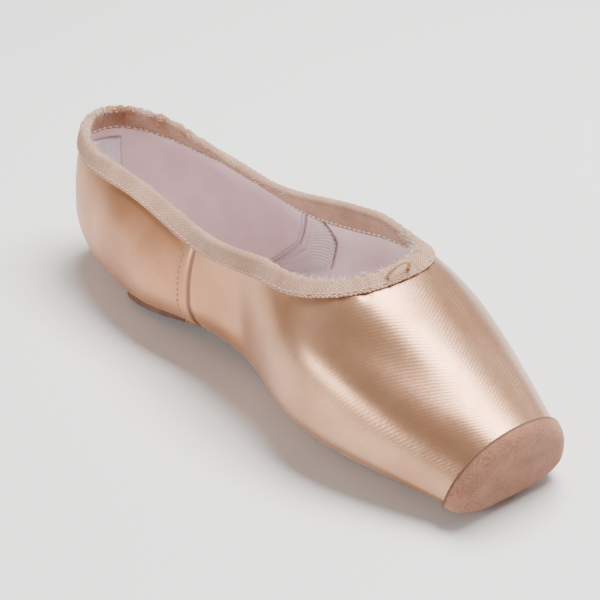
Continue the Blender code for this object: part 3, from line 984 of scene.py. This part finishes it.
def suede_toe():
    """The suede patch over the platform, with a thin rounded edge."""
    rim_start = SHOE_LENGTH - RIM_RADIUS
    low, high = SHOE_LENGTH - PATCH_WRAP_BELOW, SHOE_LENGTH - PATCH_WRAP_ABOVE
    lowers = spaced(low, rim_start, WRAP_STEPS) + [rim_start]
    uppers = spaced(high, rim_start, WRAP_STEPS) + [rim_start]
    grid = [section(lower, -2, upper, 1.0) for lower, upper in zip(lowers, uppers)]
    grid += [section(along, -2, along, 1.0) for along in rim_stations()]
    depth = -GAP - PATCH_THICKNESS
    shape = cloth_grid(grid, lambda along, place: skin_point(along, place, depth))
    both_halves(shape)
    close_tip(shape)
    face_towards(shape, FAR, FAR)
    border = shape.verts.layers.float.new("border")
    rim = [vert for vert in shape.verts if vert.is_boundary]
    tree = KDTree(len(rim))
    for index, vert in enumerate(rim):
        tree.insert(vert.co, index)
    tree.balance()
    for vert in shape.verts:
        vert[border] = tree.find(vert.co)[2]
    piece = finished("suede_toe", shape, (SUEDE,), "toe_patch")
    thickened(piece, PATCH_THICKNESS, edge_round=SUEDE_EDGE)


def sole_layer(alongs, reach_at, rows, depth_at):
    """A layer under the foot whose outer face lies at a depth."""
    grid = [[(a, place_of_reach(reach_at(a) * j / rows)) for j in range(rows + 1)] for a in alongs]
    shape = cloth_grid(grid, lambda along, place: skin_point(along, place, depth_at(along)))
    both_halves(shape)
    face_towards(shape, DOWN, DOWN)
    return shape


def leather_sole():
    start, end = OUTSOLE[0][0] * SHOE_LENGTH, OUTSOLE[-1][0] * SHOE_LENGTH
    depth = -GAP - SOLE_THICKNESS
    alongs = eased(start, end, SOLE_STEPS)
    shape = sole_layer(alongs, outsole_reach, SOLE_ROWS, lambda along: depth)
    piece = finished("leather_sole", shape, (LEATHER,), "outsole")
    thickened(piece, SOLE_THICKNESS, edge_round=SOLE_EDGE)


def insole_sock():
    end = INSOLE_END * SHOE_LENGTH
    alongs = spaced(0, HEEL_DEPTH, INSOLE_FAN) + spaced(HEEL_DEPTH, end, INSOLE_STEPS) + [end]

    def depth_at(along):
        return wall(along) + GAP

    shape = sole_layer(alongs, lambda along: INSOLE_REACH, INSOLE_ROWS, depth_at)
    piece = finished("insole_sock", shape, (INSOLE,), "insole")
    thickened(piece, INSOLE_THICKNESS, edge_round=INSOLE_EDGE)


def tape_section(thickness):
    """The folded tape's outer face: distance from the collar's edge and height over the satin."""
    lift = GAP + TAPE_THICKNESS
    radius = thickness / 2 + lift
    middle = -thickness / 2
    rise = TUNNEL_HEIGHT + TAPE_THICKNESS
    line = [(OUTER_LEG * (1 - i / OUTER_ROWS), lift) for i in range(OUTER_ROWS)]
    for i in range(FOLD_ROWS + 1):
        turn = math.pi * i / FOLD_ROWS
        line.append((-rise * math.sin(turn), middle + radius * math.cos(turn)))
    inner = [INNER_LEG * (i + 1) / INNER_ROWS for i in range(INNER_ROWS)]
    line += [(distance, -thickness - lift) for distance in inner]
    return line


# The cord past a foot of its loop: outwards, back to the fold and down, in metres.
HIDDEN_END = (
    (0.0002, 0.0004, 0.0012),
    (0.0010, 0.0010, 0.0020),
    (0.0024, 0.0016, 0.0023),
    (0.0042, 0.0022, 0.0024),
    (0.0060, 0.0030, 0.0025),
    (0.0078, 0.0040, 0.0027),
    (0.0092, 0.0052, 0.0029),
)


def collar_frames():
    """Points round the half collar, with the directions out of the satin and away down it."""
    steps = TAPE_FAN + TAPE_BODY + TAPE_THROAT
    edges = [form_point(*collar_edge(i, TAPE_FAN, TAPE_BODY, TAPE_THROAT)) for i in range(steps + 1)]
    flipped = Vector((1, -1, 1))
    frames, travelled = [], 0.0
    for i, edge in enumerate(edges):
        before = edges[i - 1] if i else edges[1] * flipped
        after = edges[i + 1] if i < steps else edges[i - 1] * flipped
        if i:
            travelled += (edge - edges[i - 1]).length
        outward = normal(edge)
        frames.append((edge, outward, outward.cross(after - before).normalized(), travelled))
    return frames


FRAMES = collar_frames()


def tape_point(index, distance, height):
    """A point over or under the satin near the collar."""
    edge, outward, away, _ = FRAMES[index]
    point, up = edge + away * distance, outward
    if distance > 0:
        point = onto_form(point)
        up = normal(point)
    point = point + up * height
    if index in (0, len(FRAMES) - 1):
        point.y = 0
    return point


def collar_tape():
    """The tape folded over the collar's edge round the drawstring."""
    steps = len(FRAMES) - 1
    profile_length = len(tape_section(QUARTER_WALL))
    grid = [[(i, k) for k in range(profile_length)] for i in range(steps + 1)]

    def at(i, k):
        distance, height = tape_section(wall(FRAMES[i][0].x))[k]
        return tape_point(i, distance, height)

    shape = cloth_grid(grid, at)
    weave = shape.loops.layers.uv["cloth"]
    for face in shape.faces:
        for loop in face.loops:
            loop[weave].uv.x = FRAMES[round(loop[weave].uv.x)][3]
    both_halves(shape)
    face_towards(shape, FAR, FAR)
    piece = finished("collar_tape", shape, (TAPE,), "binding")
    pucker(piece)
    thickened(piece, TAPE_THICKNESS, edge_round=TAPE_EDGE)


# Tucks across the tape: way round from the throat's middle (+ far, - near), width, depth.
TUCKS = (
    (-0.006, 0.0010, 0.00045),
    (-0.011, 0.0011, 0.00060),
    (-0.0155, 0.0010, 0.00065),
    (-0.020, 0.0012, 0.00060),
    (-0.028, 0.0013, 0.00040),
    (0.008, 0.0011, 0.00050),
    (0.014, 0.0012, 0.00055),
    (0.021, 0.0013, 0.00045),
    (0.033, 0.0014, 0.00035),
    (0.138, 0.0013, 0.00070),
    (0.150, 0.0015, 0.00095),
    (0.157, 0.0012, 0.00080),
    (0.165, 0.0015, 0.00100),
    (0.173, 0.0014, 0.00090),
    (-0.160, 0.0014, 0.00045),
    (-0.171, 0.0013, 0.00045),
)


# Gathers: how far they reach from the heel and the throat, their two periods, and their height.
HEEL_GATHERS, THROAT_GATHERS, FOLD_GATHERS = 0.035, 0.040, 0.0038
GATHER_PERIODS = (0.0043, 0.0027)
GATHER_HEIGHT = 0.00030
FOLD_MIDDLE = INNER_LEG + 0.0025


def bell(distance, width):
    return math.exp(-((distance / width) ** 2))


def pucker(piece):
    """Small gathers of the tape round the drawstring, and deeper tucks at listed places."""
    data = piece.data
    weave = data.uv_layers["cloth"].data
    length = FRAMES[-1][3]
    shift = {}
    for loop in data.loops:
        along, across = weave[loop.index].uv
        side = 1 if data.vertices[loop.vertex_index].co.y > 0 else -1
        back = length - along
        gathered = 0.25 + 0.75 * max(bell(along, HEEL_GATHERS), bell(back, THROAT_GATHERS))
        wander = 1.3 * side + 2.1 * math.sin(along * 95 * side)
        wave = math.sin(along * 2 * math.pi / GATHER_PERIODS[0] + wander)
        wave += 0.6 * math.sin(along * 2 * math.pi / GATHER_PERIODS[1] + 0.9 * side)
        top = bell(across - FOLD_MIDDLE, FOLD_GATHERS)
        amount = GATHER_HEIGHT * wave * gathered * (0.4 + 0.6 * top)
        for away, width, depth in TUCKS:
            if away * side > 0:
                amount -= depth * bell(back - abs(away), width) * (0.45 + 0.55 * top)
        shift[loop.vertex_index] = amount
    for index, amount in shift.items():
        vert = data.vertices[index]
        vert.co = vert.co + vert.normal * amount
    data.update()


def stitch(shape, middle, forward, up, length, width):
    """One stitch: a short low bead lying along the seam."""
    side = up.cross(forward).normalized()
    made = bmesh.ops.create_uvsphere(shape, u_segments=7, v_segments=4, radius=0.5)["verts"]
    turn = Matrix((side, up, forward.normalized())).transposed().to_4x4()
    size = Matrix.Diagonal((width, width, length, 1))
    bmesh.ops.transform(shape, matrix=Matrix.Translation(middle) @ turn @ size, verts=made)


def stitch_row(shape, points, ups, pitch, length, width, wander=0.0):
    """Stitches at an even pitch along a line of points."""
    loose = random.Random(7)
    travelled, due = 0.0, pitch / 2
    for a, b, up in zip(points, points[1:], ups):
        step = (b - a).length
        while step > 0 and travelled + step >= due:
            at = a.lerp(b, (due - travelled) / step)
            forward = (b - a).normalized()
            side = up.cross(forward)
            stitch(shape, at + side * loose.uniform(-wander, wander), forward, up, length, width)
            due += pitch
        travelled += step


def sided(vector, way):
    """The vector for the far side, or its mirror image for the near side."""
    return Vector((vector.x, vector.y * way, vector.z))


# Rows along the tape: distance in from the leg's edge, pitch, a stitch's length and width.
OUTER_ROW = (0.0011, 0.0026, 0.0019, 0.00055)
INNER_ROW = (0.0010, 0.0024, 0.0018, 0.00070)
STITCH_WANDER = 0.00010


def tape_stitches(name, leg, row, inside, look):
    """A row along one leg of the tape, near its edge."""
    inset, pitch, length, width = row
    lift = GAP + TAPE_THICKNESS
    shape = bmesh.new()
    for way in (1, -1):
        points, ups = [], []
        for i in range(0, len(FRAMES), 2):
            edge, _, away, _ = FRAMES[i]
            height = -wall(edge.x) - lift if inside else lift
            up = normal(onto_form(edge + away * (leg - inset)))
            points.append(sided(tape_point(i, leg - inset, height), way))
            ups.append(sided(-up if inside else up, way))
        stitch_row(shape, points, ups, pitch, length, width, STITCH_WANDER)
    finished(name, shape, (look,))


# Loose threads of the rubbed fold: how many to a side, and the shares of the half collar,
# from the heel's middle, between which they stand.
FRAYED = ((150, 0.00, 0.16), (60, 0.16, 0.55), (130, 0.74, 1.00))
THREAD_ROOT, THREAD_TIP = 0.000075, 0.00003
THREAD_SHORTEST, THREAD_LONGEST = 0.0010, 0.0021
THREAD_SPREAD, THREAD_SWAY = 0.9, 0.6


def frayed_threads():
    """Short loose threads that stand out of the tape's fold."""
    shape = bmesh.new()
    loose = random.Random(11)
    spans = [(way, *span) for way in (1, -1) for span in FRAYED]
    threads = [(way, start, end) for way, count, start, end in spans for _ in range(count)]
    for way, start, end in threads:
        edge, outward, away, _ = FRAMES[round((len(FRAMES) - 1) * loose.uniform(start, end))]
        turn = loose.uniform(-THREAD_SPREAD, THREAD_SPREAD)
        out = (outward * math.sin(turn) - away * math.cos(turn)).normalized()
        heading = out + Vector([loose.uniform(-THREAD_SWAY, THREAD_SWAY) for _ in range(3)])
        length = loose.uniform(THREAD_SHORTEST, THREAD_LONGEST)
        middle = edge - outward * wall(edge.x) / 2 + out * (TUNNEL_HEIGHT + TAPE_THICKNESS / 2)
        middle += heading.normalized() * length / 2
        turned = sided(heading, way).to_track_quat("Z", "Y").to_matrix().to_4x4()
        bmesh.ops.create_cone(
            shape,
            cap_ends=True,
            segments=4,
            radius1=THREAD_ROOT,
            radius2=THREAD_TIP,
            depth=length,
            matrix=Matrix.Translation(sided(middle, way)) @ turned,
        )
    finished("frayed_threads", shape, (WHITE_THREAD,))


# Rows along the side seam: distance from it, a stitch's length and its lift.
SEAM_ROWS = ((-0.0050, 0.0015, BAND_RISE), (0.0042, 0.0009, 0.0))
SEAM_PITCH, SEAM_STITCH_WIDTH = 0.0022, 0.00040
# The rows' lower end, the height over it, their steps, and what stays clear under the tape.
ROW_FOOT, ROW_HEIGHT, ROW_STEPS, ROW_TOP = -0.62, 1.22, 49, 0.14


def seam_stitches():
    """Topstitching behind the side seams and a fine dotted row ahead of them."""
    shape = bmesh.new()
    places = [ROW_FOOT + ROW_HEIGHT * k / ROW_STEPS for k in range(ROW_STEPS + 1)]
    for way in (1, -1):
        for offset, length, lift in SEAM_ROWS:
            along = SEAM_SHARE * SHOE_LENGTH + offset
            top = collar_place(along) - ROW_TOP
            bare = [form_point(along, place) for place in places if place <= top]
            ups = [normal(point) for point in bare]
            points = [sided(point + up * lift, way) for point, up in zip(bare, ups)]
            ups = [sided(up, way) for up in ups]
            stitch_row(shape, points, ups, SEAM_PITCH, length, SEAM_STITCH_WIDTH)
    finished("seam_stitches", shape, (PEACH_THREAD,))


def inner_strip(name, along, width, thickness):
    """A hemmed tape sewn down the lining on both sides, from under the collar to the insole."""
    grid = []
    for i in range(STRIP_COLUMNS + 1):
        offset = width * (i / STRIP_COLUMNS - 0.5)
        grid.append([(along + offset, j / STRIP_ROWS) for j in range(STRIP_ROWS + 1)])
    for way, side in ((1, "far"), (-1, "near")):

        def at(a, share):
            hem = HEM_RISE * smooth((abs(2 * (a - along) / width) - HEM_START) / HEM_RAMP)
            a += STRIP_SLANT * (share - 0.5) - STRIP_SWEEP * (1 - share) ** 2
            place = STRIP_FOOT + (collar_place(a) - STRIP_TOP - STRIP_FOOT) * share
            depth = QUARTER_WALL + STRIP_CLEARANCE + thickness * (1 + hem)
            return sided(skin_point(a, place, depth), way)

        shape = cloth_grid(grid, at)
        face_towards(shape, (0, way, 0), (0, -way, 0))
        piece = finished(f"{name}_{side}", shape, (PALE_TAPE,))
        thickened(piece, thickness)


def heel_patch():
    """The pale reinforcement inside the heel."""
    grid = []
    for i in range(PATCH_STEPS + 1):
        along = HEEL_DEPTH * HEEL_PATCH_REACH * i / PATCH_STEPS
        station = HEEL_DEPTH * (1 - math.sin(fan_swing(along)))
        rise = collar_place(station) - HEEL_PATCH_TOP - HEEL_PATCH_FOOT
        shares = [j / PATCH_STEPS for j in range(PATCH_STEPS + 1)]
        grid.append([(along, HEEL_PATCH_FOOT + rise * share) for share in shares])
    shape = cloth_grid(grid, lambda along, place: skin_point(along, place, HEEL_PATCH_DEPTH))
    both_halves(shape)
    face_towards(shape, BACK, FORWARD)
    piece = finished("heel_patch", shape, (HEEL_CLOTH,))
    thickened(piece, HEEL_PATCH_THICKNESS)


def drawstring():
    """The cord's loop at the middle of the throat. Its ends go back through the tape
    and lie in the fold."""
    edge = FRAMES[-1][0]
    stand = onto_form(edge + Vector((LOOP_AHEAD, 0, 0)))
    up = normal(stand)
    foot = stand + up * (2 * GAP + TAPE_THICKNESS)
    half = LOOP_WIDTH / 2
    loop = []
    for k in range(LOOP_STEPS + 1):
        turn = math.pi * k / LOOP_STEPS
        out = Vector((0, half * math.cos(turn), 0))
        loop.append(foot + out + up * (LOOP_HEIGHT * math.sin(turn)))
    tail = [loop[0] + Vector((-back, out, 0)) - up * down for out, back, down in HIDDEN_END]
    points = tail[::-1] + loop + [sided(point, -1) for point in tail]
    data = bpy.data.curves.new("drawstring_loop", "CURVE")
    data.dimensions = "3D"
    data.bevel_depth = CORD_DIAMETER / 2
    data.bevel_resolution = 4
    data.use_fill_caps = True
    line = data.splines.new("POLY")
    line.points.add(len(points) - 1)
    for knot, point in zip(line.points, points):
        knot.co = (*(point + TO_MIDDLE), 1)
    data.materials.append(CORD)
    piece = placed("drawstring_loop", data)
    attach(piece, "root")
    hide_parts("drawstring")
    tuple(points[0] + TO_MIDDLE)
    sum((b - a).length for a, b in zip(points, points[1:]))


def aimed(thing, place, aim):
    thing.location = place
    thing.rotation_euler = (Vector(aim) - Vector(place)).to_track_quat("-Z", "Y").to_euler()


def camera():
    data = bpy.data.cameras.new("camera")
    data.lens = CAMERA_LENS
    eye = placed("camera", data)
    aimed(eye, CAMERA_PLACE, CAMERA_AIM)
    bpy.context.scene.camera = eye


WORLD_STRENGTH = 0.23
FLOOR_HALF = 3.0
# Lights: name, place, aim, width, length, watts and colour.
LIGHTS = (
    ("overhead", (0.00, 0.30, 0.92), (0.02, 0.0, 0.03), 0.75, 0.50, 30.0, (1.0, 0.99, 0.96)),
    ("near_left", (-0.12, -0.97, 0.28), (0.0, 0.0, 0.02), 0.6, 0.26, 6.8, (1.0, 0.97, 0.94)),
    ("far_side", (0.30, 0.85, 0.30), (0.0, 0.0, 0.03), 0.5, 0.3, 3.0, (1.0, 0.93, 0.86)),
)


def lights():
    for name, place, aim, width, length, watts, colour in LIGHTS:
        data = bpy.data.lights.new(name, "AREA")
        data.shape = "RECTANGLE"
        data.size, data.size_y = width, length
        data.energy = watts
        data.color = colour
        aimed(placed(name, data), place, aim)
    world = bpy.data.worlds.new("studio")
    world.use_nodes = True
    sky = world.node_tree.nodes["Background"].inputs
    sky["Color"].default_value = (1.0, 0.99, 0.98, 1)
    sky["Strength"].default_value = WORLD_STRENGTH
    bpy.context.scene.world = world


def floor():
    look = Look("pale_floor", 0.38, Specular_IOR_Level=0.35)
    look.colour((0.88, 0.88, 0.88))
    shape = bmesh.new()
    bmesh.ops.create_grid(shape, x_segments=2, y_segments=2, size=FLOOR_HALF)
    data = bpy.data.meshes.new("floor")
    shape.to_mesh(data)
    shape.free()
    data.materials.append(look.data)
    placed("floor", data)


camera()
drawstring()
satin_upper()
suede_toe()
leather_sole()
insole_sock()
collar_tape()
tape_stitches("tape_stitches", OUTER_LEG, OUTER_ROW, False, PEACH_THREAD)
tape_stitches("lining_stitches", INNER_LEG, INNER_ROW, True, WHITE_THREAD)
frayed_threads()
seam_stitches()
for name, share, width, thickness in STRIPS:
    inner_strip(name, share * SHOE_LENGTH, width, thickness)
heel_patch()
lights()
floor()
